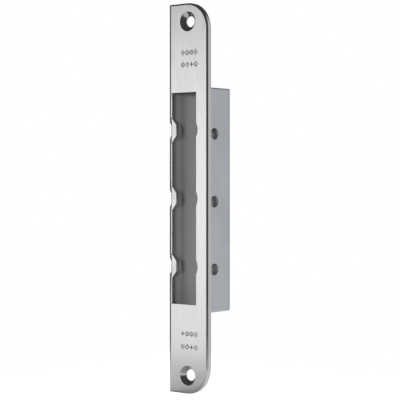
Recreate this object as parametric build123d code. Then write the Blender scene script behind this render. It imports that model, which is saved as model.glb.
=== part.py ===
import os
from math import cos, radians, sin
from build123d import *

# Electric door strike: a tall face plate with an open slot, and a sheet-steel box behind it that holds a
# pivoting keeper, a locking lever, a small solenoid, a keeper switch and a terminal block.
# All sizes are in millimetres: +X runs across the plate, +Y into the door frame and +Z up. The functions
# measure Y from the plate's front face. save() then moves each piece forward by the plate's thickness, so
# the origin is the centre of the plate's back face, where the plate beds on the door frame.

# Face plate
PLATE_W = 26.5
PLATE_H = 200.0
PLATE_T = 3.0
PLATE_RIGHT_R = 14.0
PLATE_LEFT_R = 1.2
PLATE_EDGE_R = 1.0
ROLLED_EDGE_R = 2.2
FACE_SCREW_PITCH = 181.2
FACE_SCREW_R = 2.75
COUNTERSINK_R = 5.0
COUNTERSINK_DEPTH = 2.4
STUD_R = 1.5
STUD_DEPTH = 1.4
STUD_REACH = 5.0

# Slot in the face plate, and the keeper lip that closes its left side
SLOT_H = 108.5
SLOT_RIGHT = 5.6
LIP_W = 3.05
SEAM = 0.28
ACCESS_PITCH = 35.0
NOTCH_MOUTH_H = 10.7
NOTCH_FLOOR_H = 4.3
NOTCH_DEPTH = 2.6
NOTCH_BACK = 3.6
LIP_INNER_R = 0.6
BULGE_WALL = 0.5
BUMP_DEPTH = 1.0
BUMP_R = 6.6

# Box behind the plate
SHEET = 1.2
BOX_RIGHT = 6.75
BOX_LEFT = -13.0
BOX_TOP = 57.1
BOX_BOTTOM = -58.9
BOX_BACK = 26.3
TAB_LEFT = -10.5
TAB_REACH = 11.0
LEFT_LIP_Y = 22.2
PAD = 2.6
PAD_T = 2.4
COVER_SCREW_R = 1.0
STUD_XS = (-6.5, 2.5)
STUD_RISE = 6.0
SIDE_HOLE_R = 3.0
SIDE_HOLE_Y = 13.6
SIDE_HOLE_OFFSET = -1.7

# Latch pocket
POCKET_Y = 14.0
POCKET_SHEET = 1.0
POCKET_LEFT = -3.6
WELL_H = 8.4
WELL_LEFT = 2.0
WELL_Y = 17.3
RIVET_XS = (-1.5, 3.0)
RIVET_Y = 16.8
RIVET_R = 1.0

# Keeper pivot
PIVOT_X = -8.6
PIVOT_Y = 18.0
BARREL_R = 2.9
PIN_R = 2.0
RUNNING = 0.05
WASHER_T = 0.5
WASHER_GAP = 0.1
RAMP_R = 6.0
BARREL_TAPER_Y = 12.0
BAY_R = 3.25
BAY_H = 8.0
BAY_Z = (20.0, -26.0)
SPRING_H = 5.0
SPRING_TURNS = 6
SPRING_WIRE_R = 0.3

# Locking lever and its cam lobe on the keeper
LEVER_PIVOT_X = 1.0
LEVER_PIVOT_Z = -29.0
LEVER_Y0 = 18.9
LEVER_Y1 = 22.5
LOBE_Z = -10.0
LOBE_H = 2.5
LOBE_R = 1.95
LOBE_THROW = 4.3
LOBE_ANGLE = 75.0
LOBE_GAP = 0.35
TOOTH_W = 1.0
TOOTH_Z0 = -3.5
TOOTH_Z1 = -0.5
LEVER_PIN_R = 1.25
LEVER_SPRING_Z = -18.5
LEVER_SPRING_X0 = 0.1

# Solenoid, with its axis parallel to Z
COIL_X = -0.9
COIL_Y = 20.2
YOKE_Z0 = 4.0
YOKE_Z1 = 27.6
YOKE_T = 1.2
COIL_R = 4.1
BORE_R = 2.6
CORE_TOP = 12.0
ARMATURE_R = 2.52
ARMATURE_Z0 = 15.5
ARMATURE_Z1 = 31.0
SPRING_SEAT_R = 2.1
SPRING_SEAT_DEPTH = 2.2
ROD_GRIP = 4.5
ROD_R = 0.9
ROD_Z0 = 0.4
ROD_GAP = 0.3
YOKE_SCREW_X = 2.6

# Keeper switch
SWITCH_Z = 44.5
SWITCH_LEFT = -3.4
SWITCH_RIGHT = 5.0
SWITCH_BACK = 23.2
SWITCH_HALF_H = 5.4
SWITCH_SCREW_R = 0.8
BUTTON_R = 0.9
BUTTON_Y = 19.4
SWITCH_LOBE_R = 2.4
SWITCH_LOBE_THROW = 1.8

# Terminal block
TERMINAL_PITCH = 2.3
TERMINAL_COUNT = 4
TERMINAL_Z = -48.0
TERMINAL_HALF_H = 4.5
TERMINAL_BACK = 23.0
TERMINAL_SCREW_R = 0.9
TERMINAL_PEG_R = 0.8
WIRE_HOLE_R = 0.75
WIRE_HOLE_Y = 18.6

# Cable inlet in the bottom wall
CABLE_X = -2.6
CABLE_Y = 21.7
CABLE_HOLE_R = 2.4

SIDE_HOLE_ZS = [k * ACCESS_PITCH + SIDE_HOLE_OFFSET for k in (1, 0, -1)]
NOTCH_ZS = [k * ACCESS_PITCH for k in (1, 0, -1)]
HALF_W = PLATE_W / 2
SLOT_LEFT = LIP_W - HALF_W
COVER_Y = BOX_BACK - SHEET
WALL_IN = BOX_RIGHT - SHEET


def block(x0, x1, y0, y1, z0, z1):
    """A box between two corners."""
    solid = Box(x1 - x0, y1 - y0, z1 - z0)
    return Pos((x0 + x1) / 2, (y0 + y1) / 2, (z0 + z1) / 2) * solid


def rod_z(x, y, z0, z1, r):
    """A cylinder parallel to Z."""
    return Pos(x, y, (z0 + z1) / 2) * Cylinder(r, z1 - z0)


def rod_y(x, z, y0, y1, r):
    """A cylinder parallel to Y."""
    return Pos(x, (y0 + y1) / 2, z) * Rot(X=90) * Cylinder(r, y1 - y0)


def rod_x(y, z, x0, x1, r):
    """A cylinder parallel to X."""
    return Pos((x0 + x1) / 2, y, z) * Rot(Y=90) * Cylinder(r, x1 - x0)


def cone_y(x, z, y0, y1, r0, r1):
    """A cone along Y, with radius r0 at y0 and r1 at y1."""
    return Pos(x, (y0 + y1) / 2, z) * Rot(X=-90) * Cone(r0, r1, y1 - y0)


def prism_y(points, y0, y1):
    """An outline in X and Z, carried from y0 to y1."""
    face = Plane.XZ.offset(-y0) * make_face(Polyline(*points, close=True))
    return extrude(face, amount=y0 - y1)


def prism_z(face, z0, z1):
    """A face in X and Y, carried from z0 to z1."""
    return extrude(Pos(0, 0, z0) * face, amount=z1 - z0)


def helix_z(x, y, z0, z1, coil_r, wire_r, turns):
    """A round-wire helical spring parallel to Z."""
    path = Pos(x, y, z0) * Helix((z1 - z0) / turns, z1 - z0, coil_r)
    profile = Plane(origin=path @ 0, z_dir=path % 0) * Circle(wire_r)
    return sweep(profile, path=path, is_frenet=True)


def countersunk_screw_y(x, z, y_head, direction, head_r, head_h, shank_r, length):
    """A countersunk screw along Y. Its flat head lies at y_head, and it points along direction."""
    tip = y_head + direction * length
    neck = y_head + direction * head_h
    shank = rod_y(x, z, min(neck, tip), max(neck, tip), shank_r)
    if direction > 0:
        head = cone_y(x, z, y_head, neck, head_r, shank_r)
    else:
        head = cone_y(x, z, neck, y_head, shank_r, head_r)
    slot_depth = 0.35 * head_h
    inner = y_head + direction * slot_depth
    slot = block(x - head_r, x + head_r, min(y_head, inner), max(y_head, inner), z - 0.2, z + 0.2)
    return head + shank - slot


def rolled_edge_waste(z0, z1):
    """What the rolled left front edge of the plate and the lip takes off a square edge."""
    square = block(-HALF_W - 1, ROLLED_EDGE_R - HALF_W, -1, ROLLED_EDGE_R, z0, z1)
    return square - rod_z(ROLLED_EDGE_R - HALF_W, ROLLED_EDGE_R, z0, z1, ROLLED_EDGE_R)


def save(node, shape):
    """Writes one sub-part to its own STEP file, with the origin on the plate's back face."""
    export_step(Pos(0, -PLATE_T, 0) * shape, f"parts/{node}.step")


def stud_places():
    """Places of the studs that hold the box's end tabs to the plate."""
    return [(x, z) for x in STUD_XS for z in (BOX_TOP + STUD_RISE, BOX_BOTTOM - STUD_RISE)]


def face_plate():
    """A stamped stainless plate, open on its left side where the keeper lip stands."""
    outline = Rectangle(PLATE_W, PLATE_H)
    outline = fillet(outline.vertices().filter_by(lambda v: v.X > 0), PLATE_RIGHT_R)
    outline = fillet(outline.vertices().filter_by(lambda v: v.X < 0.01 - HALF_W), PLATE_LEFT_R)
    plate = extrude(Plane.XZ * outline, amount=-PLATE_T)
    front = plate.faces().sort_by(Axis.Y)[0]
    plate = fillet(front.edges(), PLATE_EDGE_R)
    plate -= rolled_edge_waste(-PLATE_H, PLATE_H)
    plate -= block(-HALF_W - 1, SLOT_RIGHT, -1, PLATE_T + 1, -SLOT_H / 2, SLOT_H / 2)
    for z in NOTCH_ZS:
        plate -= rod_y(SLOT_RIGHT + BUMP_DEPTH - BUMP_R, z, -1, PLATE_T + 1, BUMP_R)
    for x, z in stud_places():
        plate -= rod_y(x, z, PLATE_T - STUD_DEPTH, PLATE_T + 1, STUD_R)
    for z in (-FACE_SCREW_PITCH / 2, FACE_SCREW_PITCH / 2):
        plate -= rod_y(0, z, -1, PLATE_T + 1, FACE_SCREW_R)
        plate -= cone_y(0, z, 0, COUNTERSINK_DEPTH, COUNTERSINK_R, FACE_SCREW_R)
    return plate


def notch_outline(z, x_mouth, margin):
    """The four-sided wave of one driver notch, seen from the front and widened by margin at each end."""
    x_floor = x_mouth + NOTCH_DEPTH
    half_mouth = NOTCH_MOUTH_H / 2 + margin
    half_floor = NOTCH_FLOOR_H / 2 + margin
    upper = [(x_floor, z + half_floor), (x_mouth, z + half_mouth)]
    lower = [(x_mouth, z - half_mouth), (x_floor, z - half_floor)]
    return lower + upper


def keeper_section():
    """The keeper's cross-section: lip, jaw wall, curved ramp and pivot barrel."""
    toe_x = SLOT_LEFT + RAMP_R
    outline = [
        Line((-HALF_W, 0), (SLOT_LEFT, 0)),
        Line((SLOT_LEFT, 0), (SLOT_LEFT, POCKET_Y - RAMP_R)),
        RadiusArc((SLOT_LEFT, POCKET_Y - RAMP_R), (toe_x, POCKET_Y), RAMP_R),
        Line((toe_x, POCKET_Y), (toe_x, POCKET_Y + POCKET_SHEET)),
        Line((toe_x, POCKET_Y + POCKET_SHEET), (PIVOT_X + BARREL_R, PIVOT_Y)),
        Line((PIVOT_X + BARREL_R, PIVOT_Y), (PIVOT_X - BARREL_R, PIVOT_Y)),
        Line((PIVOT_X - BARREL_R, PIVOT_Y), (-HALF_W, BARREL_TAPER_Y)),
        Line((-HALF_W, BARREL_TAPER_Y), (-HALF_W, 0)),
    ]
    return make_face(outline) + Pos(PIVOT_X, PIVOT_Y) * Circle(BARREL_R)


def lobe(throw, radius, z0, z1):
    """A round-nosed cam lobe that stands out of the keeper's barrel."""
    cx = PIVOT_X + throw * cos(radians(LOBE_ANGLE))
    cy = PIVOT_Y + throw * sin(radians(LOBE_ANGLE))
    neck = Pos((PIVOT_X + cx) / 2, (PIVOT_Y + cy) / 2) * Rot(Z=LOBE_ANGLE) * Rectangle(throw, 2 * radius)
    return prism_z(Pos(cx, cy) * Circle(radius) + neck, z0, z1)


def keeper():
    """The cast keeper. Its front edge is notched so that a driver reaches the screws in the side wall."""
    half = SLOT_H / 2 - SEAM
    z0 = BOX_BOTTOM + SHEET + WASHER_T + WASHER_GAP
    z1 = BOX_TOP - SHEET - WASHER_T - WASHER_GAP
    body = prism_z(keeper_section(), z0, z1)
    body -= block(-HALF_W - 1, SLOT_LEFT + 1, -1, PLATE_T + 0.3, half, z1 + 1)
    body -= block(-HALF_W - 1, SLOT_LEFT + 1, -1, PLATE_T + 0.3, z0 - 1, -half)
    body -= rolled_edge_waste(z0 - 1, z1 + 1)
    upright = body.edges().filter_by(Axis.Z)
    inner = upright.filter_by(lambda e: abs(e.center().X - SLOT_LEFT) < 0.01)
    body = fillet(inner.sort_by(Axis.Y)[0], LIP_INNER_R)
    for z in NOTCH_ZS:
        body += prism_y(notch_outline(z, SLOT_LEFT, BULGE_WALL), 0, NOTCH_BACK)
    for z in NOTCH_ZS:
        body -= prism_y(notch_outline(z, -HALF_W, 0), -1, NOTCH_BACK)
        body -= block(-HALF_W - 2, -HALF_W, -1, NOTCH_BACK, z - NOTCH_MOUTH_H, z + NOTCH_MOUTH_H)
    body += lobe(LOBE_THROW, LOBE_R, LOBE_Z - LOBE_H / 2, LOBE_Z + LOBE_H / 2)
    body += lobe(SWITCH_LOBE_THROW, SWITCH_LOBE_R, SWITCH_Z - 2, SWITCH_Z + 2)
    for z in BAY_Z:
        body -= rod_z(PIVOT_X, PIVOT_Y, z - BAY_H / 2, z + BAY_H / 2, BAY_R)
        bay_y = POCKET_Y + POCKET_SHEET + 0.05
        body -= block(PIVOT_X, POCKET_LEFT, bay_y, PIVOT_Y + 4, z - BAY_H / 2, z + BAY_H / 2)
    return body - rod_z(PIVOT_X, PIVOT_Y, z0 - 1, z1 + 1, PIN_R + RUNNING)


def keeper_pin():
    """A ground steel pin, pressed into the box's two end walls."""
    return rod_z(PIVOT_X, PIVOT_Y, BOX_BOTTOM, BOX_TOP, PIN_R)


def pin_washers():
    """Two plain washers between the keeper's ends and the end walls."""
    upper = rod_z(PIVOT_X, PIVOT_Y, BOX_TOP - SHEET - WASHER_T, BOX_TOP - SHEET, BARREL_R)
    lower = rod_z(PIVOT_X, PIVOT_Y, BOX_BOTTOM + SHEET, BOX_BOTTOM + SHEET + WASHER_T, BARREL_R)
    bore = rod_z(PIVOT_X, PIVOT_Y, BOX_BOTTOM, BOX_TOP, PIN_R)
    return Compound([upper - bore, lower - bore])


def keeper_spring(z):
    """A torsion spring on the keeper pin. Its fixed leg lies behind the pocket floor."""
    coil_r = PIN_R + 0.6
    z0 = z - SPRING_H / 2
    z1 = z + SPRING_H / 2
    coil = helix_z(PIVOT_X, PIVOT_Y, z0, z1, coil_r, SPRING_WIRE_R, SPRING_TURNS)
    leg = rod_y(PIVOT_X + coil_r, z0, PIVOT_Y - coil_r, PIVOT_Y, SPRING_WIRE_R)
    return coil + leg


def housing():
    """The folded box: right wall with three holes, two end walls, a low left lip and two end tabs."""
    right = block(WALL_IN, BOX_RIGHT, PLATE_T, COVER_Y, BOX_BOTTOM, BOX_TOP)
    top = block(BOX_LEFT, BOX_RIGHT, PLATE_T, COVER_Y, BOX_TOP - SHEET, BOX_TOP)
    bottom = block(BOX_LEFT, BOX_RIGHT, PLATE_T, COVER_Y, BOX_BOTTOM, BOX_BOTTOM + SHEET)
    lip = block(BOX_LEFT, BOX_LEFT + SHEET, LEFT_LIP_Y, COVER_Y, BOX_BOTTOM, BOX_TOP)
    body = right + top + bottom + lip
    body += block(TAB_LEFT, BOX_RIGHT, PLATE_T, PLATE_T + SHEET, BOX_TOP - SHEET, BOX_TOP + TAB_REACH)
    body += block(TAB_LEFT, BOX_RIGHT, PLATE_T, PLATE_T + SHEET, BOX_BOTTOM - TAB_REACH, BOX_BOTTOM + SHEET)
    for x, z in cover_screw_places():
        body += block(x - PAD, x + PAD, COVER_Y - PAD_T, COVER_Y, z - PAD, z + PAD)
        body -= rod_y(x, z, COVER_Y - PAD_T - 1, COVER_Y + 1, COVER_SCREW_R)
    for z in SIDE_HOLE_ZS:
        body -= rod_x(SIDE_HOLE_Y, z, WALL_IN - 1, BOX_RIGHT + 1, SIDE_HOLE_R)
    for x, z in stud_places():
        body -= rod_y(x, z, PLATE_T - 1, PLATE_T + SHEET + 1, STUD_R + 0.1)
    body -= rod_z(PIVOT_X, PIVOT_Y, BOX_BOTTOM - 1, BOX_TOP + 1, PIN_R)
    body -= rod_z(CABLE_X, CABLE_Y, BOX_BOTTOM - 1, BOX_BOTTOM + SHEET + 1, CABLE_HOLE_R)
    for x in RIVET_XS:
        body -= rod_z(x, RIVET_Y, BOX_BOTTOM - 1, BOX_TOP + 1, RIVET_R)
    return body


def cover_screw_places():
    """Places of the four cover screws, one in each corner of the box."""
    xs = (BOX_LEFT + SHEET + PAD, WALL_IN - PAD)
    zs = (BOX_BOTTOM + SHEET + PAD, BOX_TOP - SHEET - PAD)
    return [(x, z) for x in xs for z in zs]


def back_cover():
    """A flat plate that closes the box's back."""
    cover = block(BOX_LEFT, BOX_RIGHT, COVER_Y, BOX_BACK, BOX_BOTTOM, BOX_TOP)
    for x, z in cover_screw_places():
        cover -= rod_y(x, z, COVER_Y - 1, BOX_BACK + 1, 1.3)
        cover -= cone_y(x, z, COVER_Y, BOX_BACK, 1.3, 2.4)
    return cover


def cover_screws():
    """Four countersunk M2 screws that hold the cover."""
    screws = []
    for x, z in cover_screw_places():
        screws.append(countersunk_screw_y(x, z, BOX_BACK, -1, 2.35, SHEET, COVER_SCREW_R, 3.3))
    return Compound(screws)


def clinch_studs():
    """Four studs pressed into the plate's back."""
    y0 = PLATE_T - STUD_DEPTH
    return Compound([rod_y(x, z, y0, PLATE_T + STUD_REACH, STUD_R) for x, z in stud_places()])


def stud_nuts():
    """Four hexagonal nuts on the studs."""
    nuts = []
    for x, z in stud_places():
        hexagon = Plane.XZ.offset(-(PLATE_T + SHEET)) * Pos(x, z) * RegularPolygon(3.0, 6)
        nut = extrude(hexagon, amount=-2.4)
        nuts.append(nut - rod_y(x, z, PLATE_T, PLATE_T + 8, STUD_R))
    return Compound(nuts)


def pocket_floor():
    """The pressed floor of the latch pocket, with a well round each side fixing screw."""
    back = POCKET_Y + POCKET_SHEET
    inside_top = BOX_TOP - SHEET
    inside_bottom = BOX_BOTTOM + SHEET
    floor = block(POCKET_LEFT, WALL_IN, POCKET_Y, back, inside_bottom, inside_top)
    shell = POCKET_SHEET
    reach = WELL_H / 2 + shell
    for z in SIDE_HOLE_ZS:
        floor += block(WELL_LEFT - shell, WALL_IN, POCKET_Y, WELL_Y + shell, z - reach, z + reach)
    for z in SIDE_HOLE_ZS:
        floor -= block(WELL_LEFT, WALL_IN + 1, POCKET_Y - 1, WELL_Y, z - WELL_H / 2, z + WELL_H / 2)
    for z0 in (inside_top - POCKET_SHEET, inside_bottom):
        floor += block(POCKET_LEFT, WALL_IN, POCKET_Y, RIVET_Y + 1.6, z0, z0 + POCKET_SHEET)
    for z in yoke_screw_zs():
        floor -= rod_y(YOKE_SCREW_X, z, POCKET_Y - 1, back + 1, 1.0)
        floor -= cone_y(YOKE_SCREW_X, z, POCKET_Y, POCKET_Y + 0.9, 1.9, 1.0)
    for x, z in switch_screw_places():
        floor -= rod_y(x, z, POCKET_Y - 1, back + 1, SWITCH_SCREW_R)
    for x, z in terminal_peg_places():
        floor -= rod_y(x, z, POCKET_Y - 1, back + 1, TERMINAL_PEG_R)
    floor -= rod_y(LEVER_PIVOT_X, LEVER_PIVOT_Z, POCKET_Y - 1, back + 1, LEVER_PIN_R)
    for x in RIVET_XS:
        floor -= rod_z(x, RIVET_Y, BOX_BOTTOM, BOX_TOP, RIVET_R)
    return floor


def floor_rivets():
    """Four rivets through the end walls and the pocket floor's flanges, flush outside and headed inside."""
    stack = SHEET + POCKET_SHEET
    head_h = 0.7
    rivets = []
    for x in RIVET_XS:
        upper = rod_z(x, RIVET_Y, BOX_TOP - stack, BOX_TOP, RIVET_R)
        upper += rod_z(x, RIVET_Y, BOX_TOP - stack - head_h, BOX_TOP - stack, 1.6 * RIVET_R)
        lower = rod_z(x, RIVET_Y, BOX_BOTTOM, BOX_BOTTOM + stack, RIVET_R)
        lower += rod_z(x, RIVET_Y, BOX_BOTTOM + stack, BOX_BOTTOM + stack + head_h, 1.6 * RIVET_R)
        rivets += [upper, lower]
    return Compound(rivets)


def locking_lever():
    """A flat steel lever. The keeper's lobe pushes its nose aside, unless the push rod blocks its tooth."""
    nose_x = PIVOT_X + LOBE_THROW * cos(radians(LOBE_ANGLE)) + LOBE_R + LOBE_GAP
    tooth_x1 = COIL_X - ROD_R - ROD_GAP
    tooth_x0 = tooth_x1 - TOOTH_W
    points = [
        (LEVER_PIVOT_X - 2.3, LEVER_PIVOT_Z),
        (nose_x, LOBE_Z - 4.5),
        (nose_x, LOBE_Z + 4.5),
        (nose_x + 0.6, TOOTH_Z0),
        (tooth_x0, TOOTH_Z0),
        (tooth_x0, TOOTH_Z1),
        (tooth_x1, TOOTH_Z1),
        (tooth_x1, LOBE_Z - 4.0),
        (LEVER_PIVOT_X + 2.3, LEVER_PIVOT_Z),
    ]
    lever = prism_y(points, LEVER_Y0, LEVER_Y1)
    lever += rod_y(LEVER_PIVOT_X, LEVER_PIVOT_Z, LEVER_Y0, LEVER_Y1, 2.4)
    return lever - rod_y(LEVER_PIVOT_X, LEVER_PIVOT_Z, LEVER_Y0 - 1, LEVER_Y1 + 1, LEVER_PIN_R + RUNNING)


def lever_pin():
    """A shouldered pin riveted into the pocket floor, on which the lever turns."""
    pin = rod_y(LEVER_PIVOT_X, LEVER_PIVOT_Z, POCKET_Y + 0.1, COVER_Y - 0.3, LEVER_PIN_R)
    collar = rod_y(LEVER_PIVOT_X, LEVER_PIVOT_Z, POCKET_Y + POCKET_SHEET, LEVER_Y0 - 0.15, 2.2)
    return pin + collar


def lever_clip():
    """A push-on ring that keeps the lever on its pin."""
    ring = rod_y(LEVER_PIVOT_X, LEVER_PIVOT_Z, LEVER_Y1 + 0.15, LEVER_Y1 + 0.75, 2.3)
    return ring - rod_y(LEVER_PIVOT_X, LEVER_PIVOT_Z, LEVER_Y1, LEVER_Y1 + 1, LEVER_PIN_R)


def lever_spring():
    """A small compression spring between the box's right wall and the lever's back."""
    y = (LEVER_Y0 + LEVER_Y1) / 2
    coil = helix_z(0, 0, 0, WALL_IN - 0.3 - LEVER_SPRING_X0, 1.3, 0.2, 6)
    return Pos(LEVER_SPRING_X0, y, LEVER_SPRING_Z) * Rot(Y=90) * coil


def yoke_screw_zs():
    """Heights of the two screws that hold the yoke."""
    return (YOKE_Z0 + 4.0, YOKE_Z1 - 4.0)


def solenoid_yoke():
    """A folded iron frame: two end plates, a spine and a foot that lies on the pocket floor."""
    x0 = POCKET_LEFT
    x1 = COIL_X + 5.6
    y0 = POCKET_Y + POCKET_SHEET
    y1 = COIL_Y + 4.3
    yoke = block(x0, x1, y0, y1, YOKE_Z0, YOKE_Z0 + YOKE_T)
    yoke += block(x0, x1, y0, y1, YOKE_Z1 - YOKE_T, YOKE_Z1)
    yoke += block(x1 - YOKE_T, x1, y0, y1, YOKE_Z0, YOKE_Z1)
    yoke += block(COIL_X + 1.5, x1, y0, y0 + 0.9, YOKE_Z0, YOKE_Z1)
    yoke -= rod_z(COIL_X, COIL_Y, YOKE_Z0 - 1, YOKE_Z0 + YOKE_T + 1, ROD_R + 0.15)
    yoke -= rod_z(COIL_X, COIL_Y, YOKE_Z1 - YOKE_T - 1, YOKE_Z1 + 1, ARMATURE_R + 0.15)
    for z in yoke_screw_zs():
        yoke -= rod_y(YOKE_SCREW_X, z, y0 - 1, y0 + 2, 0.9)
    return yoke


def yoke_screws():
    """Two countersunk screws through the pocket floor into the yoke's foot."""
    screws = []
    for z in yoke_screw_zs():
        screws.append(countersunk_screw_y(YOKE_SCREW_X, z, POCKET_Y, 1, 1.85, 0.9, 0.9, 1.85))
    return Compound(screws)


def coil_bobbin():
    """A moulded bobbin with two flanges."""
    z0 = YOKE_Z0 + YOKE_T
    z1 = YOKE_Z1 - YOKE_T
    bobbin = rod_z(COIL_X, COIL_Y, z0, z1, 3.1)
    bobbin += rod_z(COIL_X, COIL_Y, z0, z0 + 1.0, COIL_R)
    bobbin += rod_z(COIL_X, COIL_Y, z1 - 1.0, z1, COIL_R)
    return bobbin - rod_z(COIL_X, COIL_Y, z0 - 1, z1 + 1, BORE_R)


def coil_winding():
    """The copper winding, as one sleeve on the bobbin."""
    z0 = YOKE_Z0 + YOKE_T + 1.0
    z1 = YOKE_Z1 - YOKE_T - 1.0
    return rod_z(COIL_X, COIL_Y, z0, z1, COIL_R - 0.2) - rod_z(COIL_X, COIL_Y, z0 - 1, z1 + 1, 3.1)


def fixed_core():
    """The fixed iron core in the lower half of the bobbin."""
    core = rod_z(COIL_X, COIL_Y, YOKE_Z0 + YOKE_T, CORE_TOP, BORE_R)
    return core - rod_z(COIL_X, COIL_Y, YOKE_Z0, CORE_TOP + 1, ROD_R + 0.1)


def armature():
    """The iron plunger that the coil pulls down. Its return spring seats in a counterbore in its lower end."""
    plunger = rod_z(COIL_X, COIL_Y, ARMATURE_Z0, ARMATURE_Z1, ARMATURE_R)
    plunger -= rod_z(COIL_X, COIL_Y, ARMATURE_Z0 - 1, ARMATURE_Z0 + SPRING_SEAT_DEPTH, SPRING_SEAT_R)
    return plunger - rod_z(COIL_X, COIL_Y, ARMATURE_Z0 - 1, ARMATURE_Z0 + ROD_GRIP, ROD_R)


def push_rod():
    """A hardened rod pressed into the plunger. Pushed down, its end stands beside the lever's tooth."""
    return rod_z(COIL_X, COIL_Y, ROD_Z0, ARMATURE_Z0 + ROD_GRIP, ROD_R)


def armature_spring():
    """The return spring round the rod, between the core and the plunger."""
    top = ARMATURE_Z0 + SPRING_SEAT_DEPTH - 0.3
    return helix_z(COIL_X, COIL_Y, CORE_TOP + 0.3, top, 1.5, 0.2, 4)


def switch_screw_places():
    """Places of the two screws through the switch."""
    return [(3.6, SWITCH_Z - 3.4), (-1.6, SWITCH_Z + 3.4)]


def switch_body():
    """The moulded case of the keeper switch."""
    y0 = POCKET_Y + POCKET_SHEET
    z0 = SWITCH_Z - SWITCH_HALF_H
    case = block(SWITCH_LEFT, SWITCH_RIGHT, y0, SWITCH_BACK, z0, z0 + 2 * SWITCH_HALF_H)
    case -= rod_x(BUTTON_Y, SWITCH_Z, SWITCH_LEFT - 1, SWITCH_LEFT + 3, BUTTON_R + RUNNING)
    for x, z in switch_screw_places():
        case -= rod_y(x, z, y0 - 1, SWITCH_BACK + 1, SWITCH_SCREW_R)
    for z in (SWITCH_Z - 2.0, SWITCH_Z + 0.2):
        case += block(0.6, 2.4, SWITCH_BACK, SWITCH_BACK + 1.4, z, z + 0.5)
    return case


def switch_button():
    """The switch's sprung button, which the keeper's upper lobe pushes in."""
    reach = SWITCH_LOBE_THROW * cos(radians(LOBE_ANGLE)) + SWITCH_LOBE_R
    return rod_x(BUTTON_Y, SWITCH_Z, PIVOT_X + reach + 0.25, SWITCH_LEFT + 1.7, BUTTON_R)


def pan_screw_y(x, z, y_seat, tip_y, head_r, head_h, shank_r):
    """A pan-head screw that points towards the plate."""
    screw = rod_y(x, z, y_seat, y_seat + head_h, head_r) + rod_y(x, z, tip_y, y_seat, shank_r)
    return screw - block(x - head_r, x + head_r, y_seat + 0.6 * head_h, y_seat + head_h + 1, z - 0.2, z + 0.2)


def switch_screws():
    """Two long screws that hold the switch to the pocket floor."""
    screws = []
    for x, z in switch_screw_places():
        screws.append(pan_screw_y(x, z, SWITCH_BACK, POCKET_Y + 0.1, 1.4, 0.9, SWITCH_SCREW_R))
    return Compound(screws)


def terminal_xs():
    """Places of the terminals across the block."""
    middle = (TERMINAL_COUNT - 1) / 2
    return [0.2 + (i - middle) * TERMINAL_PITCH for i in range(TERMINAL_COUNT)]


def terminal_peg_places():
    """Places of the two pegs under the terminal block."""
    return [(-2.1, TERMINAL_Z + 1), (2.5, TERMINAL_Z + 1)]


def terminal_block():
    """A moulded four-way terminal block with its wire holes at the bottom."""
    z0 = TERMINAL_Z - TERMINAL_HALF_H
    z1 = TERMINAL_Z + TERMINAL_HALF_H
    body = block(POCKET_LEFT, 5.1, POCKET_Y + POCKET_SHEET, TERMINAL_BACK, z0, z1)
    body += block(-4.7, POCKET_LEFT, 18.2, TERMINAL_BACK, z0, z1)
    for x in terminal_xs():
        body -= rod_y(x, TERMINAL_Z, WIRE_HOLE_Y + 0.4, TERMINAL_BACK + 1, TERMINAL_SCREW_R + RUNNING)
        body -= rod_z(x, WIRE_HOLE_Y, z0 - 1, z1 + 1, WIRE_HOLE_R)
    for x, z in terminal_peg_places():
        body += rod_y(x, z, POCKET_Y + 0.1, POCKET_Y + POCKET_SHEET, TERMINAL_PEG_R)
    return body


def terminal_screws():
    """Four slotted clamping screws."""
    screws = []
    for x in terminal_xs():
        screw = rod_y(x, TERMINAL_Z, 19.4, 22.6, TERMINAL_SCREW_R)
        screws.append(screw - block(x - 1, x + 1, 22.2, 23, TERMINAL_Z - 0.2, TERMINAL_Z + 0.2))
    return Compound(screws)


def grommet():
    """A rubber grommet in the bottom wall, where the supply cable comes in."""
    ring = rod_z(CABLE_X, CABLE_Y, BOX_BOTTOM, BOX_BOTTOM + SHEET, CABLE_HOLE_R)
    ring += rod_z(CABLE_X, CABLE_Y, BOX_BOTTOM + SHEET, BOX_BOTTOM + SHEET + 0.9, CABLE_HOLE_R + 0.6)
    return ring - rod_z(CABLE_X, CABLE_Y, BOX_BOTTOM - 1, BOX_BOTTOM + 3, CABLE_HOLE_R - 0.9)


def main():
    os.makedirs("parts", exist_ok=True)
    save("face_plate", face_plate())
    save("clinch_studs", clinch_studs())
    save("stud_nuts", stud_nuts())
    save("housing", housing())
    save("back_cover", back_cover())
    save("cover_screws", cover_screws())
    save("pocket_floor", pocket_floor())
    save("floor_rivets", floor_rivets())
    save("keeper", keeper())
    save("keeper_pin", keeper_pin())
    save("pin_washers", pin_washers())
    for name, z in zip(("upper", "lower"), BAY_Z):
        save(f"keeper_spring_{name}", keeper_spring(z))
    save("locking_lever", locking_lever())
    save("lever_pin", lever_pin())
    save("lever_clip", lever_clip())
    save("lever_spring", lever_spring())
    save("solenoid_yoke", solenoid_yoke())
    save("yoke_screws", yoke_screws())
    save("coil_bobbin", coil_bobbin())
    save("coil_winding", coil_winding())
    save("fixed_core", fixed_core())
    save("armature", armature())
    save("push_rod", push_rod())
    save("armature_spring", armature_spring())
    save("switch_body", switch_body())
    save("switch_button", switch_button())
    save("switch_screws", switch_screws())
    save("terminal_block", terminal_block())
    save("terminal_screws", terminal_screws())
    save("grommet", grommet())


main()
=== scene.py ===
import math

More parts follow.
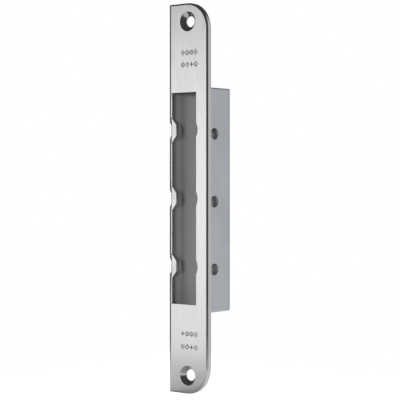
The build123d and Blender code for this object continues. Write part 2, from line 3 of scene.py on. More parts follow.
import bpy
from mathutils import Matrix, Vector


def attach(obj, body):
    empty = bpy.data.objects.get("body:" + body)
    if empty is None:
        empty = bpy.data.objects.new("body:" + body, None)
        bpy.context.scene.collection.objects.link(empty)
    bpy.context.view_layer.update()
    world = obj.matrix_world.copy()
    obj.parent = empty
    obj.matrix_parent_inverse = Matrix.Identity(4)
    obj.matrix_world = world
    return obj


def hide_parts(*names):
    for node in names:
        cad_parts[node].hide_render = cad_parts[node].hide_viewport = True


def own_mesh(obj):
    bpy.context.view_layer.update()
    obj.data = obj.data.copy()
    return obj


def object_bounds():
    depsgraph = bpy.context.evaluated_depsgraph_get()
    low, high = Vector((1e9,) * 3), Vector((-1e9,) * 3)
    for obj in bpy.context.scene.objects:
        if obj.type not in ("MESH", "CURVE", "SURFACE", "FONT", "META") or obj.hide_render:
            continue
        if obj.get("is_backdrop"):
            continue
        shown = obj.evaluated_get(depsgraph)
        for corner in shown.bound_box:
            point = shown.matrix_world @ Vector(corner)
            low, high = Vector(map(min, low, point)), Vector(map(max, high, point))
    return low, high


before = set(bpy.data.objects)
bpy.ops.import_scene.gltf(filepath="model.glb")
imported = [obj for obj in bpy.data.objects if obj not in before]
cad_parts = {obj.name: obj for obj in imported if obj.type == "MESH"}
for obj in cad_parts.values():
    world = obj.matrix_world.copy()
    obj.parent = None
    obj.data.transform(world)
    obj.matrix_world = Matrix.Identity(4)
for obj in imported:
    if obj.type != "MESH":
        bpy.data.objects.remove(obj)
cad_low, cad_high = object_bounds()

# Face plate.
# A strip of stainless sheet, stamped out with its slot and two countersunk screw holes, rounded over along
# its front edges, satin-brushed lengthways and stamped near each end with two rows of small plain signs.

# Sizes are in millimetres. Y is measured from the plate's front face, and the frame starts at its back face.
MM = 0.001
PLATE_T = 3.0
HALF_W, HALF_H = 13.25, 100.0
ROUND_END_R, SQUARE_END_R, FRONT_EDGE_R, ROLLED_EDGE_R = 14.0, 1.2, 1.0, 2.2
SLOT_RIGHT, SLOT_HALF_H = 5.6, 54.25
NOTCH_ZS = (35.0, 0.0, -35.0)
SCREW_Z, SCREW_HOLE_R, SINK_R, SINK_DEPTH = 90.6, 2.75, 5.0, 2.4
SCALLOP_R, SCALLOP_DEPTH = 6.6, 1.0
ALONG_Y = (math.radians(-90), 0, 0)
ALONG_X = (0, math.radians(90), 0)


def place(x, y, z):
    """A place in millimetres, in the frame's metres."""
    return Vector((x * MM, (y - PLATE_T) * MM, z * MM))


def let_go():
    """Nothing selected, in object mode."""
    if bpy.context.object and bpy.context.object.mode != "OBJECT":
        bpy.ops.object.mode_set(mode="OBJECT")
    bpy.ops.object.select_all(action="DESELECT")


def take(piece):
    """Only this piece selected and active."""
    let_go()
    bpy.context.view_layer.objects.active = piece
    piece.select_set(True)


def named(name):
    """The primitive just added, named, with its place and size moved into its mesh."""
    piece = bpy.context.object
    piece.name = name
    piece.data.name = name
    bpy.ops.object.transform_apply(location=True, rotation=True, scale=True)
    return piece


def slab(name, low, high):
    """A block between two corners."""
    let_go()
    size = [(b - a) * MM for a, b in zip(low, high)]
    middle = [(a + b) / 2 for a, b in zip(low, high)]
    bpy.ops.mesh.primitive_cube_add(size=1, location=place(*middle), scale=size)
    return named(name)


def drum(name, middle, radius, length, turn=(0, 0, 0), sides=48, far_radius=None):
    """A round bar along Z, or a taper with its far end at far_radius, turned and placed."""
    let_go()
    bpy.ops.mesh.primitive_cone_add(
        vertices=sides,
        radius1=radius * MM,
        radius2=(radius if far_radius is None else far_radius) * MM,
        depth=length * MM,
        location=place(*middle),
        rotation=turn,
    )
    return named(name)


def work(piece, tool, how="DIFFERENCE"):
    """Cuts a tool's shape out of a piece, or welds it on, and takes the tool away."""
    take(piece)
    change = piece.modifiers.new("work", "BOOLEAN")
    change.operation = how
    change.solver = "EXACT"
    change.object = tool
    bpy.ops.object.modifier_apply(modifier=change.name)
    bpy.data.objects.remove(tool)
    return piece


def round_edges(piece, test, radius, steps):
    """Rounds over the edges whose two ends both pass the test."""
    take(piece)
    bpy.ops.object.mode_set(mode="EDIT")
    bpy.ops.mesh.select_mode(type="EDGE")
    bpy.ops.mesh.select_all(action="DESELECT")
    bpy.ops.object.mode_set(mode="OBJECT")
    mesh = piece.data
    for edge in mesh.edges:
        a, b = ((mesh.vertices[i].co - place(0, 0, 0)) / MM for i in edge.vertices)
        edge.select = bool(test(a, b))
    bpy.ops.object.mode_set(mode="EDIT")
    bpy.ops.mesh.bevel(offset=radius * MM, segments=steps, affect="EDGES", clamp_overlap=False)
    bpy.ops.object.mode_set(mode="OBJECT")


def soften(piece, radius, steps=2, angle=35):
    """A small round on every sharp edge."""
    take(piece)
    change = piece.modifiers.new("soften", "BEVEL")
    change.width = radius * MM
    change.segments = steps
    change.limit_method = "ANGLE"
    change.angle_limit = math.radians(angle)
    change.use_clamp_overlap = False
    bpy.ops.object.modifier_apply(modifier=change.name)


def polish(piece):
    """Smooth shading that stops at sharp corners and stays flat on the flat faces."""
    take(piece)
    bpy.ops.object.shade_smooth_by_angle(angle=math.radians(32))
    change = piece.modifiers.new("polish", "WEIGHTED_NORMAL")
    change.keep_sharp = True
    change.weight = 100
    bpy.ops.object.modifier_apply(modifier=change.name)


def finish(
    name, colour, rough, metallic=1.0, grain=(1, 1, 1), grain_size=400, mottle=0.03, bump=0.02, spread=0.2
):
    """A surface finish: fine grain stretched the way it was brushed or drawn, and slow mottling."""
    material = bpy.data.materials.new(name)
    material.use_nodes = True
    nodes = material.node_tree.nodes
    link = material.node_tree.links.new
    shader = nodes["Principled BSDF"]
    shader.inputs["Metallic"].default_value = metallic
    where = nodes.new("ShaderNodeTexCoord")
    stretch = nodes.new("ShaderNodeMapping")
    stretch.inputs["Scale"].default_value = grain
    link(where.outputs["Object"], stretch.inputs["Vector"])
    fine = nodes.new("ShaderNodeTexNoise")
    fine.inputs["Scale"].default_value = grain_size
    fine.inputs["Detail"].default_value = 4
    link(stretch.outputs["Vector"], fine.inputs["Vector"])
    slow = nodes.new("ShaderNodeTexNoise")
    slow.inputs["Scale"].default_value = 45
    slow.inputs["Detail"].default_value = 5
    link(where.outputs["Object"], slow.inputs["Vector"])
    tint = nodes.new("ShaderNodeMapRange")
    tint.inputs["From Min"].default_value = 0.3
    tint.inputs["From Max"].default_value = 0.7
    tint.inputs["To Min"].default_value = 1 - mottle
    tint.inputs["To Max"].default_value = 1 + mottle
    link(slow.outputs["Fac"], tint.inputs["Value"])
    paint = nodes.new("ShaderNodeVectorMath")
    paint.operation = "SCALE"
    paint.inputs[0].default_value = colour
    link(tint.outputs["Result"], paint.inputs["Scale"])
    link(paint.outputs["Vector"], shader.inputs["Base Color"])
    blur = nodes.new("ShaderNodeMapRange")
    blur.inputs["From Min"].default_value = 0.3
    blur.inputs["From Max"].default_value = 0.7
    blur.inputs["To Min"].default_value = rough * (1 - spread)
    blur.inputs["To Max"].default_value = rough * (1 + spread)
    link(fine.outputs["Fac"], blur.inputs["Value"])
    link(blur.outputs["Result"], shader.inputs["Roughness"])
    relief = nodes.new("ShaderNodeBump")
    relief.inputs["Strength"].default_value = bump
    relief.inputs["Distance"].default_value = 0.1 * MM
    link(fine.outputs["Fac"], relief.inputs["Height"])
    link(relief.outputs["Normal"], shader.inputs["Normal"])
    return material


def band(material, axis, start, full, both=False):
    """A mask that rises from 0 to 1 between two places along an axis, or along both ways from the middle."""
    nodes = material.node_tree.nodes
    link = material.node_tree.links.new
    where = nodes.new("ShaderNodeTexCoord")
    split = nodes.new("ShaderNodeSeparateXYZ")
    link(where.outputs["Object"], split.inputs[0])
    value = split.outputs[axis]
    if both:
        size = nodes.new("ShaderNodeMath")
        size.operation = "ABSOLUTE"
        link(value, size.inputs[0])
        value = size.outputs[0]
    ramp = nodes.new("ShaderNodeMapRange")
    ramp.inputs["From Min"].default_value = start * MM
    ramp.inputs["From Max"].default_value = full * MM
    link(value, ramp.inputs["Value"])
    return ramp.outputs["Result"]


def all_of(material, masks):
    """The product of several masks."""
    nodes = material.node_tree.nodes
    link = material.node_tree.links.new
    total = masks[0]
    for mask in masks[1:]:
        step = nodes.new("ShaderNodeMath")
        step.operation = "MULTIPLY"
        link(total, step.inputs[0])
        link(mask, step.inputs[1])
        total = step.outputs[0]
    return total


def darken(material, mask, share, rough=None, metallic=None):
    """Lowers the colour to a share of itself where the mask is full, and may turn it rougher and duller."""
    nodes = material.node_tree.nodes
    link = material.node_tree.links.new
    shader = nodes["Principled BSDF"]
    fade = nodes.new("ShaderNodeMapRange")
    fade.inputs["To Min"].default_value = 1.0
    fade.inputs["To Max"].default_value = share
    link(mask, fade.inputs["Value"])
    dim = nodes.new("ShaderNodeVectorMath")
    dim.operation = "SCALE"
    link(shader.inputs["Base Color"].links[0].from_socket, dim.inputs[0])
    link(fade.outputs["Result"], dim.inputs["Scale"])
    link(dim.outputs["Vector"], shader.inputs["Base Color"])
    if rough is not None:
        mix = nodes.new("ShaderNodeMix")
        link(mask, mix.inputs["Factor"])
        link(shader.inputs["Roughness"].links[0].from_socket, mix.inputs["A"])
        mix.inputs["B"].default_value = rough
        link(mix.outputs["Result"], shader.inputs["Roughness"])
    if metallic is not None:
        dull = nodes.new("ShaderNodeMapRange")
        dull.inputs["To Min"].default_value = shader.inputs["Metallic"].default_value
        dull.inputs["To Max"].default_value = metallic
        link(mask, dull.inputs["Value"])
        link(dull.outputs["Result"], shader.inputs["Metallic"])


def coat(piece, material):
    """Gives a piece its finish."""
    if piece.material_slots:
        for slot in piece.material_slots:
            slot.material = material
    else:
        piece.data.materials.append(material)


def rolled_edge_tool(radius):
    """What the rolled left front edge takes off a square one, all the way up."""
    square = slab("edge_tool", (-HALF_W - 1, -1, -HALF_H - 1), (radius - HALF_W, radius, HALF_H + 1))
    return work(square, drum("edge_round", (radius - HALF_W, radius, 0), radius, 2 * HALF_H + 4, sides=96))


plate = slab("plate", (-HALF_W, 0, -HALF_H), (HALF_W, PLATE_T, HALF_H))
round_edges(plate, lambda a, b: a.x > 13 and b.x > 13 and abs(a.z - b.z) < 1, ROUND_END_R, 28)
round_edges(plate, lambda a, b: a.x < -13 and b.x < -13 and abs(a.z - b.z) < 1, SQUARE_END_R, 6)
round_edges(plate, lambda a, b: a.y < 0.01 and b.y < 0.01, FRONT_EDGE_R, 4)
work(plate, rolled_edge_tool(ROLLED_EDGE_R))
work(plate, slab("slot_tool", (-HALF_W - 2, -1, -SLOT_HALF_H), (SLOT_RIGHT, PLATE_T + 1, SLOT_HALF_H)))
for z in NOTCH_ZS:
    scallop_x = SLOT_RIGHT + SCALLOP_DEPTH - SCALLOP_R
    work(plate, drum("scallop_tool", (scallop_x, 1, z), SCALLOP_R, PLATE_T + 4, ALONG_Y, 96))
slope = (SINK_R - SCREW_HOLE_R) / SINK_DEPTH
for z in (SCREW_Z, -SCREW_Z):
    work(plate, drum("hole_tool", (0, 1, z), SCREW_HOLE_R, PLATE_T + 4, ALONG_Y))
    mouth_r = SINK_R + 0.4 * slope
    work(plate, drum("sink_tool", (0, 1.0, z), mouth_r, 2.8, ALONG_Y, far_radius=SCREW_HOLE_R))
soften(plate, 0.16)

# Each row holds four plain signs: a group of upright strokes, a diamond, a ring round a dot, or a cross.
SIGN_H, SIGN_STEP, SIGN_DEPTH, STROKE, SIGN_SHIFT = 3.0, 2.9, 0.2, 0.45, 1.2


def bar(x, z, width, height):
    """A stamped stroke between the plate's face and the stamp's depth."""
    low = (x - width / 2, -0.5, z - height / 2)
    return slab("stroke_tool", low, (x + width / 2, SIGN_DEPTH, z + height / 2))


def outline(x, z, radius, sides):
    """A stamped ring, or a diamond if it has four sides."""
    outer = drum("ring_tool", (x, (SIGN_DEPTH - 0.5) / 2, z), radius, SIGN_DEPTH + 0.5, ALONG_Y, sides)
    wall = STROKE / math.cos(math.pi / sides)
    return work(outer, drum("ring_core", (x, 0, z), radius - wall, 2, ALONG_Y, sides))


def sign_row(z, order):
    """One row of signs, in the order given."""
    for i, sign in enumerate(order):
        x = (i - (len(order) - 1) / 2) * SIGN_STEP + SIGN_SHIFT
        if sign == "strokes":
            for k in (-1, 0, 1):
                work(plate, bar(x + 0.8 * k, z, STROKE * 0.8, SIGN_H - abs(k)))
        elif sign == "diamond":
            work(plate, outline(x, z, 1.5, 4))
        elif sign == "ring":
            work(plate, outline(x, z, 1.2, 24))
            work(plate, drum("dot_tool", (x, (SIGN_DEPTH - 0.5) / 2, z), 0.32, SIGN_DEPTH + 0.5, ALONG_Y, 16))
        else:
            work(plate, bar(x, z, STROKE, SIGN_H * 0.8))
            work(plate, bar(x, z, SIGN_H * 0.8, STROKE))


sign_row(74.6, ("strokes", "diamond", "ring", "strokes"))
sign_row(68.5, ("ring", "strokes", "cross", "diamond"))
sign_row(-69.2, ("cross", "ring", "ring", "strokes"))
sign_row(-75.9, ("strokes", "diamond", "cross", "strokes"))
polish(plate)

stainless = finish(
    "satin_stainless",
    (0.80, 0.79, 0.78),
    0.22,
    grain=(1, 1, 0.02),
    grain_size=3000,
    mottle=0.01,
    bump=0.015,
    spread=0.12,
)
# Painted shade: the floors of the stamped signs are darkened, and made rougher: just behind the front face,
# between these heights and this width.
stamp_floor_shade = [
    band(stainless, "Y", -2.99, -2.92),
    band(stainless, "Y", -2.4, -2.6),
    band(stainless, "Z", 58, 60, both=True),
    band(stainless, "Z", 83, 82, both=True),
    band(stainless, "X", 9, 8, both=True),
]
darken(stainless, all_of(stainless, stamp_floor_shade), 0.25, rough=0.5)
coat(plate, stainless)
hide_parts("face_plate")
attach(plate, "frame")

# Clinch studs and their nuts.
# Four plated steel studs are pressed into the plate's back, and hexagonal nuts on them hold the box's tabs.

plated = finish("plated_screw_steel", (0.70, 0.70, 0.67), 0.30, grain_size=900, mottle=0.06, bump=0.04)
for node in ("clinch_studs", "stud_nuts"):
    coat(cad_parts[node], plated)

# Box.
# Zinc-plated sheet steel, folded into a right wall with three screw holes, two end walls, a low left lip
# and two tabs that lie on the plate's back.

SHEET = 1.2
BOX_LEFT, BOX_RIGHT, BOX_BOTTOM, BOX_TOP, COVER_Y = -13.0, 6.75, -58.9, 57.1, 25.1
LIP_Y, TAB_LEFT, TAB_H, WELD = 22.2, -10.5, 11, 0.6
PAD, PAD_T, PAD_WELD, TAP_R = 2.6, 2.4, 0.3, 1.0
SIDE_HOLE_ZS, SIDE_HOLE_Y, SIDE_HOLE_R = (33.3, -1.7, -36.7), 13.6, 3.0
STUD_XS, STUD_OUT, STUD_HOLE_R = (-6.5, 2.5), 6.0, 1.6
PIVOT_X, PIVOT_Y, PIN_HOLE_R = -8.6, 18.0, 2.0
RIVET_XS, RIVET_Y, RIVET_HOLE_R = (-1.5, 3.0), 16.8, 1.0
INLET_X, INLET_Y, INLET_HOLE_R = -2.6, 21.7, 2.4
THROUGH = 130

box = slab("box", (BOX_LEFT, PLATE_T, BOX_BOTTOM), (BOX_RIGHT, COVER_Y, BOX_TOP))
round_edges(box, lambda a, b: a.x > 6 and b.x > 6 and abs(a.z - b.z) < 1 and abs(a.y - b.y) > 5, 0.9, 5)
inside_low = (BOX_LEFT - 1, PLATE_T - 1, BOX_BOTTOM + SHEET)
work(box, slab("hollow_tool", inside_low, (BOX_RIGHT - SHEET, COVER_Y + 1, BOX_TOP - SHEET)))
lip_high = (BOX_LEFT + SHEET, COVER_Y, BOX_TOP - WELD)
work(box, slab("left_lip", (BOX_LEFT, LIP_Y, BOX_BOTTOM + WELD), lip_high), "UNION")
for tab, low_z, high_z in (
    ("top_tab", BOX_TOP - WELD, BOX_TOP + TAB_H),
    ("low_tab", BOX_BOTTOM - TAB_H, BOX_BOTTOM + WELD),
):
    work(box, slab(tab, (TAB_LEFT, PLATE_T, low_z), (BOX_RIGHT, PLATE_T + SHEET, high_z)), "UNION")
pad_xs = (BOX_LEFT + SHEET + PAD, BOX_RIGHT - SHEET - PAD)
pad_zs = (BOX_BOTTOM + SHEET + PAD, BOX_TOP - SHEET - PAD)
for x in pad_xs:
    for z in pad_zs:
        pad_low = (x - PAD - PAD_WELD, COVER_Y - PAD_T, z - PAD - PAD_WELD)
        work(box, slab("pad", pad_low, (x + PAD + PAD_WELD, COVER_Y, z + PAD + PAD_WELD)), "UNION")
        work(box, drum("tap_tool", (x, COVER_Y, z), TAP_R, 8, ALONG_Y, 24))
for z in SIDE_HOLE_ZS:
    work(box, drum("side_hole_tool", (BOX_RIGHT, SIDE_HOLE_Y, z), SIDE_HOLE_R, 6, ALONG_X, 64))
for x in STUD_XS:
    for z in (BOX_TOP + STUD_OUT, BOX_BOTTOM - STUD_OUT):
        work(box, drum("stud_hole_tool", (x, PLATE_T, z), STUD_HOLE_R, 6, ALONG_Y, 24))
work(box, drum("pin_hole_tool", (PIVOT_X, PIVOT_Y, 0), PIN_HOLE_R, THROUGH, sides=32))
for x in RIVET_XS:
    work(box, drum("rivet_hole_tool", (x, RIVET_Y, 0), RIVET_HOLE_R, THROUGH, sides=20))
work(box, drum("inlet_tool", (INLET_X, INLET_Y, BOX_BOTTOM), INLET_HOLE_R, 6, sides=32))
soften(box, 0.12)
polish(box)

zinc = finish(
    "zinc_plated_sheet",
    (0.715, 0.74, 0.785),
    0.40,
    grain=(1, 1, 0.35),
    grain_size=900,
    mottle=0.05,
    bump=0.05,
)
coat(box, zinc)
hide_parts("housing")
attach(box, "frame")

# Pocket floor and its rivets.
# A pressed zinc-plated sheet behind the slot, with a well round each side screw, riveted to the end walls.

# Painted shade: the pocket floor's zinc has a darker colour than the box's own, for the shade inside the
# pocket.
zinc_with_painted_shade = finish(
    "zinc_painted_shade", (0.52, 0.53, 0.56), 0.5, metallic=0.4, grain_size=700, mottle=0.08, bump=0.06
)
coat(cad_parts["pocket_floor"], zinc_with_painted_shade)
coat(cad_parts["floor_rivets"], plated)

# Keeper.
# Cast steel, nickel-plated: a ground front lip with three driver notches, a curved ramp that the latch
# slides over, a barrel bored for the pin, and two cam lobes behind. Only the lip is ground and bright; behind
# it the casting is rougher, and its colour is darkened as painted shade of the slot.

KEEPER_LOW, KEEPER_HIGH, LIP_HALF = -57.1, 55.3, 53.97
JAW_RIGHT, RAMP_R, RAMP_X, RAMP_Y = -10.2, 6.0, -4.2, 8.0
BARREL_R, BORE_R, BAY_R, BAY_H = 2.9, 2.05, 3.25, 8.0
LOBE_ANGLE = math.radians(75)


def trim(piece, spots, kept):
    """Cuts a piece off at the plane through three places and closes the cut. The side with kept stays."""
    take(piece)
    a, b, c = (place(*spot) for spot in spots)
    normal = (b - a).cross(c - a).normalized()
    if (place(*kept) - a).dot(normal) > 0:
        normal = -normal
    bpy.ops.object.mode_set(mode="EDIT")
    bpy.ops.mesh.select_all(action="SELECT")
    bpy.ops.mesh.bisect(plane_co=a, plane_no=normal, use_fill=True, clear_outer=True)
    bpy.ops.object.mode_set(mode="OBJECT")
    return piece


def cam(throw, radius, middle_z, height):
    """A round-nosed lobe that stands out of the barrel."""
    nose_x = PIVOT_X + throw * math.cos(LOBE_ANGLE)
    nose_y = PIVOT_Y + throw * math.sin(LOBE_ANGLE)
    lobe = drum("lobe", (nose_x, nose_y, middle_z), radius, height, sides=40)
    let_go()
    bpy.ops.mesh.primitive_cube_add(
        size=1,
        location=place((PIVOT_X + nose_x) / 2, (PIVOT_Y + nose_y) / 2, middle_z),
        rotation=(0, 0, LOBE_ANGLE),
        scale=(throw * MM, 2 * radius * MM * 0.999, height * MM),
    )
    return work(lobe, named("lobe_neck"), "UNION")


def jaw_corner(a, b):
    """The long front corner of the jaw, beside the slot."""
    return abs(a.x - JAW_RIGHT) < 0.02 and max(a.y, b.y) < 0.01 and abs(a.z - b.z) > 9


keeper = slab("keeper_casting", (-HALF_W, 0, KEEPER_LOW), (RAMP_X, PIVOT_Y, KEEPER_HIGH))
trim(keeper, ((RAMP_X, 15, 0), (PIVOT_X + BARREL_R, PIVOT_Y, 0), (RAMP_X, 15, 9)), (PIVOT_X, 12, 0))
trim(keeper, ((-HALF_W, 12, 0), (PIVOT_X - BARREL_R, PIVOT_Y, 0), (-HALF_W, 12, 9)), (PIVOT_X, 12, 0))
work(keeper, slab("pocket_tool", (JAW_RIGHT, -2, KEEPER_LOW - 2), (RAMP_X + 2, RAMP_Y, KEEPER_HIGH + 2)))
work(keeper, drum("ramp_tool", (RAMP_X, RAMP_Y, 0), RAMP_R, THROUGH, sides=144))
for low, high in ((LIP_HALF, KEEPER_HIGH + 2), (KEEPER_LOW - 2, -LIP_HALF)):
    work(keeper, slab("relief_tool", (-HALF_W - 1, -1, low), (JAW_RIGHT + 0.01, PLATE_T + 0.3, high)))
work(keeper, rolled_edge_tool(ROLLED_EDGE_R))
round_edges(keeper, jaw_corner, 0.3, 3)
barrel_z = (KEEPER_LOW + KEEPER_HIGH) / 2
barrel = drum("barrel", (PIVOT_X, PIVOT_Y, barrel_z), BARREL_R, KEEPER_HIGH - KEEPER_LOW)
work(keeper, barrel, "UNION")

NOTCH_MOUTH, NOTCH_FLOOR, NOTCH_DEPTH, BULGE_WALL, BULGE_BACK = 5.35, 2.15, 2.6, 0.5, 3.6
notch_x, bulge_x = NOTCH_DEPTH - HALF_W, JAW_RIGHT + NOTCH_DEPTH
for z in NOTCH_ZS:
    bulge = slab("bulge", (JAW_RIGHT - 0.8, 0, z - 6.6), (bulge_x, BULGE_BACK, z + 6.6))
    for side in (1, -1):
        mouth = z + side * (NOTCH_MOUTH + BULGE_WALL)
        floor_z = z + side * (NOTCH_FLOOR + BULGE_WALL)
        trim(bulge, ((JAW_RIGHT, 0, mouth), (bulge_x, 0, floor_z), (bulge_x, 9, floor_z)), (JAW_RIGHT, 0, z))
    work(keeper, bulge, "UNION")
for z in NOTCH_ZS:
    notch = slab("notch_tool", (-HALF_W - 1.5, -1, z - 8), (notch_x, BULGE_BACK + 0.01, z + 8))
    for side in (1, -1):
        mouth = z + side * NOTCH_MOUTH
        floor_z = z + side * NOTCH_FLOOR
        trim(notch, ((-HALF_W, 0, mouth), (notch_x, 0, floor_z), (notch_x, 9, floor_z)), (-HALF_W, 0, z))
    work(keeper, notch)
work(keeper, cam(4.3, 1.95, -10.0, 2.5), "UNION")
work(keeper, cam(1.8, 2.4, 44.5, 4.0), "UNION")
for z in (20.0, -26.0):
    work(keeper, drum("bay_tool", (PIVOT_X, PIVOT_Y, z), BAY_R, BAY_H))
    bay_low = (PIVOT_X, 15.05, z - BAY_H / 2)
    work(keeper, slab("bay_side_tool", bay_low, (-3.6, PIVOT_Y + 4, z + BAY_H / 2)))
work(keeper, drum("bore_tool", (PIVOT_X, PIVOT_Y, 0), BORE_R, THROUGH, sides=40))
soften(keeper, 0.14, angle=40)
# Softening pushes a few corners forward, so they are brought back level with the plate's front face.
for vertex in keeper.data.vertices:
    vertex.co.y = max(vertex.co.y, -PLATE_T * MM)
polish(keeper)

cast = finish("nickel_plated_casting", (0.80, 0.79, 0.78), 0.24, grain_size=1500, mottle=0.03, bump=0.03)
# Painted shade: from about a millimetre behind the front face the colour falls to 0.55 of itself; the rougher
# finish there is the as-cast surface.
darken(cast, band(cast, "Y", -2.7, -1.9), 0.55, rough=0.5)
darken(cast, band(cast, "Y", -2.0, 4.0), 1.0, metallic=0.3)
coat(keeper, cast)
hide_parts("keeper")
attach(keeper, "keeper")

# Keeper pin, washers and springs.
# A ground pin through the end walls carries the keeper between two washers, and two torsion springs of
# drawn wire in its bays swing it shut.

ground = finish(
    "ground_pin_steel", (0.62, 0.62, 0.62), 0.22, grain=(1, 1, 6), grain_size=600, mottle=0.03, bump=0.03
)
wire = finish("drawn_spring_wire", (0.42, 0.42, 0.44), 0.32, grain_size=2200, mottle=0.07, bump=0.05)
coat(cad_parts["keeper_pin"], ground)
coat(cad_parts["pin_washers"], plated)
coat(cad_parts["keeper_spring_upper"], wire)
coat(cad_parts["keeper_spring_lower"], wire)

# Locking lever, with its pin, clip and spring.
# A flat passivated steel lever turns on a shouldered pin riveted in the pocket floor, under a push-on clip.

iron = finish("passivated_iron", (0.52, 0.50, 0.43), 0.38, grain_size=1100, mottle=0.10, bump=0.06)
coat(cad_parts["locking_lever"], iron)
coat(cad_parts["lever_pin"], ground)
coat(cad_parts["lever_clip"], wire)


def spring(name, start, length, coil_r, wire_r, turns, turn=(0, 0, 0)):
    """A coil of round wire swept up a screw from start, closed at both ends, then turned about start."""
    let_go()
    bpy.ops.mesh.primitive_circle_add(
        vertices=10,
        radius=wire_r * MM,
        fill_type="NGON",
        location=(coil_r * MM, 0, 0),
        rotation=(math.radians(90), 0, 0),
    )
    coil = named(name)
    sweep = coil.modifiers.new("coil", "SCREW")
    sweep.axis = "Z"
    sweep.iterations = turns
    sweep.screw_offset = length * MM / turns
    sweep.steps = sweep.render_steps = 28
    sweep.use_merge_vertices = False
    bpy.ops.object.modifier_apply(modifier=sweep.name)
    bpy.ops.object.mode_set(mode="EDIT")
    bpy.ops.mesh.select_all(action="SELECT")
    bpy.ops.mesh.remove_doubles(threshold=0.002 * MM)
    bpy.ops.mesh.normals_make_consistent(inside=False)
    bpy.ops.object.mode_set(mode="OBJECT")
    coil.location = place(*start)
    coil.rotation_euler = turn
    bpy.ops.object.transform_apply(location=True, rotation=True, scale=True)
    bpy.ops.object.shade_smooth_by_angle(angle=math.radians(50))
    return coil


LEVER_SPRING_START, LEVER_SPRING_WALL = (0.1, 20.7, -18.5), (5.25, 20.7, -18.5)
lever_coil = spring("lever_coil", LEVER_SPRING_START, 5.15, 1.3, 0.2, 6, ALONG_X)
coat(lever_coil, wire)
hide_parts("lever_spring")
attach(lever_coil, "frame")
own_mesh(lever_coil)

# Solenoid.
# A folded iron yoke, screwed to the pocket floor, round a moulded bobbin with a copper winding, an iron
# core and a sprung plunger whose rod blocks the lever.

bobbin_plastic = finish(
    "moulded_bobbin", (0.035, 0.035, 0.04), 0.42, metallic=0, grain_size=1600, mottle=0.10, bump=0.08
)
copper = finish(
    "enamelled_copper",
    (0.62, 0.26, 0.11),
    0.28,
    grain=(0.15, 0.15, 9),
    grain_size=420,
    mottle=0.10,
    bump=0.5,
)
coat(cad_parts["solenoid_yoke"], iron)
coat(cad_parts["yoke_screws"], plated)
coat(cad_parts["coil_bobbin"], bobbin_plastic)
coat(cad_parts["coil_winding"], copper)
coat(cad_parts["fixed_core"], iron)
coat(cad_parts["armature"], iron)
coat(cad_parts["push_rod"], ground)
RETURN_SPRING_START = (-0.9, 20.2, 12.5)
return_coil = spring("return_coil", RETURN_SPRING_START, 4.7, 1.5, 0.2, 4)
coat(return_coil, wire)
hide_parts("armature_spring")
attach(return_coil, "frame")
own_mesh(return_coil)

# Keeper switch.
# A moulded case on two long screws, with a sprung button that the keeper's upper lobe pushes in.

case_plastic = finish(
    "moulded_switch_case", (0.05, 0.05, 0.055), 0.48, metallic=0, grain_size=1900, mottle=0.08, bump=0.10
)
button_plastic = finish(
    "moulded_button", (0.55, 0.06, 0.04), 0.30, metallic=0, grain_size=1900, mottle=0.05, bump=0.04
)
coat(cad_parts["switch_body"], case_plastic)
coat(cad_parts["switch_button"], button_plastic)
coat(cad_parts["switch_screws"], plated)

# Terminal block.
# A moulded four-way block on two pegs, with slotted brass clamping screws.

block_plastic = finish(
    "moulded_terminal_block", (0.06, 0.20, 0.09), 0.45, metallic=0, grain_size=1700, mottle=0.08, bump=0.09
)
brass = finish("turned_brass", (0.75, 0.58, 0.25), 0.25, grain_size=1300, mottle=0.05, bump=0.04)
coat(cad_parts["terminal_block"], block_plastic)
coat(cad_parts["terminal_screws"], brass)

# Grommet.
# A black rubber ring in the bottom wall, where the supply cable comes in.

rubber = finish(
    "nitrile_rubber", (0.02, 0.02, 0.02), 0.62, metallic=0, grain_size=1500, mottle=0.15, bump=0.12
)
coat(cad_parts["grommet"], rubber)

# Back cover and its screws.
# A flat zinc-plated plate closes the box's back, held by four small countersunk screws.

cover = slab("cover", (BOX_LEFT, COVER_Y, BOX_BOTTOM), (BOX_RIGHT, COVER_Y + SHEET, BOX_TOP))
round_edges(cover, lambda a, b: abs(a.y - b.y) > 0.5, 0.9, 4)
for x in pad_xs:
    for z in pad_zs:
        work(cover, drum("cover_hole_tool", (x, COVER_Y, z), 1.3, 6, ALONG_Y, 32))
        sink_y = COVER_Y + SHEET / 2 + 0.01
        work(cover, drum("cover_sink_tool", (x, sink_y, z), 1.3, SHEET + 0.02, ALONG_Y, 32, far_radius=2.42))
soften(cover, 0.1)
polish(cover)
coat(cover, zinc)
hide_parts("back_cover")
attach(cover, "frame")
coat(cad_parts["cover_screws"], plated)

# Table, light and camera.
# A small pale table in a dim room with broad lights to the front left and behind. The camera sees both as
# plain white. Three lamps light the dull surfaces only, and don't show as spots in the bright metal.

TABLE_SIZE, TABLE_GAP = 0.24, 0.0002
let_go()
bpy.ops.mesh.primitive_plane_add(size=TABLE_SIZE, location=(0, 0, cad_low[2] - TABLE_GAP))
table = named("table")
pale = bpy.data.materials.new("pale_table")
pale.use_nodes = True
table_nodes = pale.node_tree.nodes
table_link = pale.node_tree.links.new
table_shader = table_nodes["Principled BSDF"]
table_shader.inputs["Base Color"].default_value = (0.75, 0.75, 0.75, 1)
table_shader.inputs["Roughness"].default_value = 0.9
bright = table_nodes.new("ShaderNodeBsdfPrincipled")
bright.inputs["Base Color"].default_value = (0.95, 0.95, 0.95, 1)
bright.inputs["Roughness"].default_value = 0.9
bright.inputs["Emission Color"].default_value = (1, 1, 1, 1)
bright.inputs["Emission Strength"].default_value = 0.9
ray = table_nodes.new("ShaderNodeLightPath")
choice = table_nodes.new("ShaderNodeMixShader")
table_link(ray.outputs["Is Camera Ray"], choice.inputs["Fac"])
table_link(table_shader.outputs["BSDF"], choice.inputs[1])
table_link(bright.outputs["BSDF"], choice.inputs[2])
table_link(choice.outputs["Shader"], table_nodes["Material Output"].inputs["Surface"])
coat(table, pale)
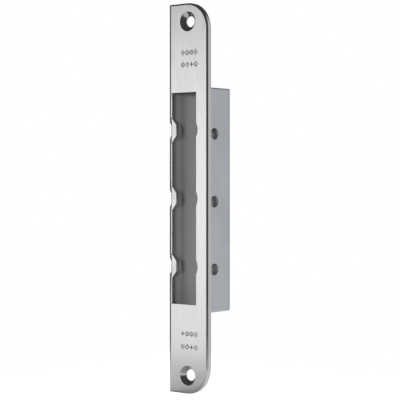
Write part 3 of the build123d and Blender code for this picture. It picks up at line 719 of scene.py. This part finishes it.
table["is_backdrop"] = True

# Each light of the room: the way it lies, the cosines where it starts and is full, and its strength.
ROOM_LIGHTS = [
    ((-0.635, -0.77, -0.045), 0.955, 0.993, 0.76),
    ((-0.635, -0.77, 0.0), 0.985, 0.999, 0.46),
    ((0.642, 0.767, -0.05), 0.60, 0.93, 0.50),
]
ROOM_BASE = 0.05


def studio(room):
    """The room as the object sees it, and plain white as the camera sees it."""
    room.use_nodes = True
    nodes = room.node_tree.nodes
    link = room.node_tree.links.new
    nodes.clear()
    out = nodes.new("ShaderNodeOutputWorld")
    where = nodes.new("ShaderNodeTexCoord")
    base = nodes.new("ShaderNodeValue")
    base.outputs[0].default_value = ROOM_BASE
    total = base.outputs[0]
    for way, start, full, strength in ROOM_LIGHTS:
        facing = nodes.new("ShaderNodeVectorMath")
        facing.operation = "DOT_PRODUCT"
        facing.inputs[1].default_value = Vector(way).normalized()
        link(where.outputs["Generated"], facing.inputs[0])
        ramp = nodes.new("ShaderNodeMapRange")
        ramp.interpolation_type = "SMOOTHSTEP"
        ramp.inputs["From Min"].default_value = start
        ramp.inputs["From Max"].default_value = full
        ramp.inputs["To Max"].default_value = strength
        link(facing.outputs["Value"], ramp.inputs["Value"])
        add = nodes.new("ShaderNodeMath")
        link(total, add.inputs[0])
        link(ramp.outputs["Result"], add.inputs[1])
        total = add.outputs["Value"]
    lit = nodes.new("ShaderNodeBackground")
    link(total, lit.inputs["Strength"])
    seen = nodes.new("ShaderNodeBackground")
    for ground_colour in (lit, seen):
        ground_colour.inputs["Color"].default_value = (1, 1, 1, 1)
    path = nodes.new("ShaderNodeLightPath")
    mix = nodes.new("ShaderNodeMixShader")
    link(path.outputs["Is Camera Ray"], mix.inputs["Fac"])
    link(lit.outputs["Background"], mix.inputs[1])
    link(seen.outputs["Background"], mix.inputs[2])
    link(mix.outputs["Shader"], out.inputs["Surface"])


room = bpy.data.worlds.new("studio")
bpy.context.scene.world = room
studio(room)
bpy.context.scene.view_settings.view_transform = "Standard"


def lamp(name, azimuth, elevation, distance, size, energy):
    """A soft square light, aimed at the object. Azimuth 0 is straight in front, and more of it goes right."""
    let_go()
    around, up = math.radians(azimuth), math.radians(elevation)
    way = Vector((math.sin(around) * math.cos(up), -math.cos(around) * math.cos(up), math.sin(up)))
    turn = way.to_track_quat("Z", "Y").to_euler()
    bpy.ops.object.light_add(type="AREA", location=way * distance, rotation=turn)
    light = bpy.context.object
    light.name = name
    light.data.size = size
    light.data.energy = energy
    light.visible_glossy = False


lamp("table_light", 180, 60, 1.0, 0.5, 7.5)
lamp("fill_light", 22, 7, 0.9, 0.2, 4.3)
lamp("side_light", 72, 8, 0.9, 0.2, 4.5)

# The camera stands level to the front right, with its view shifted a little downwards.
VIEW_AZIMUTH = math.radians(39.92)
VIEW_DISTANCE, VIEW_SIDE, VIEW_HEIGHT = 0.6851, 0.00637, 0.00963
SENSOR, LENS, VIEW_SHIFT = 36, 120.6, -0.0509
let_go()
side = Vector((math.cos(VIEW_AZIMUTH), math.sin(VIEW_AZIMUTH), 0))
ahead = Vector((-math.sin(VIEW_AZIMUTH), math.cos(VIEW_AZIMUTH), 0))
stand = place(0, 0, 0) + side * VIEW_SIDE - ahead * VIEW_DISTANCE + Vector((0, 0, VIEW_HEIGHT))
bpy.ops.object.camera_add(location=stand, rotation=(math.radians(90), 0, VIEW_AZIMUTH))
camera = bpy.context.object
camera.data.sensor_width = SENSOR
camera.data.lens = LENS
camera.data.shift_y = VIEW_SHIFT
bpy.context.scene.camera = camera

low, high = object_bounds()
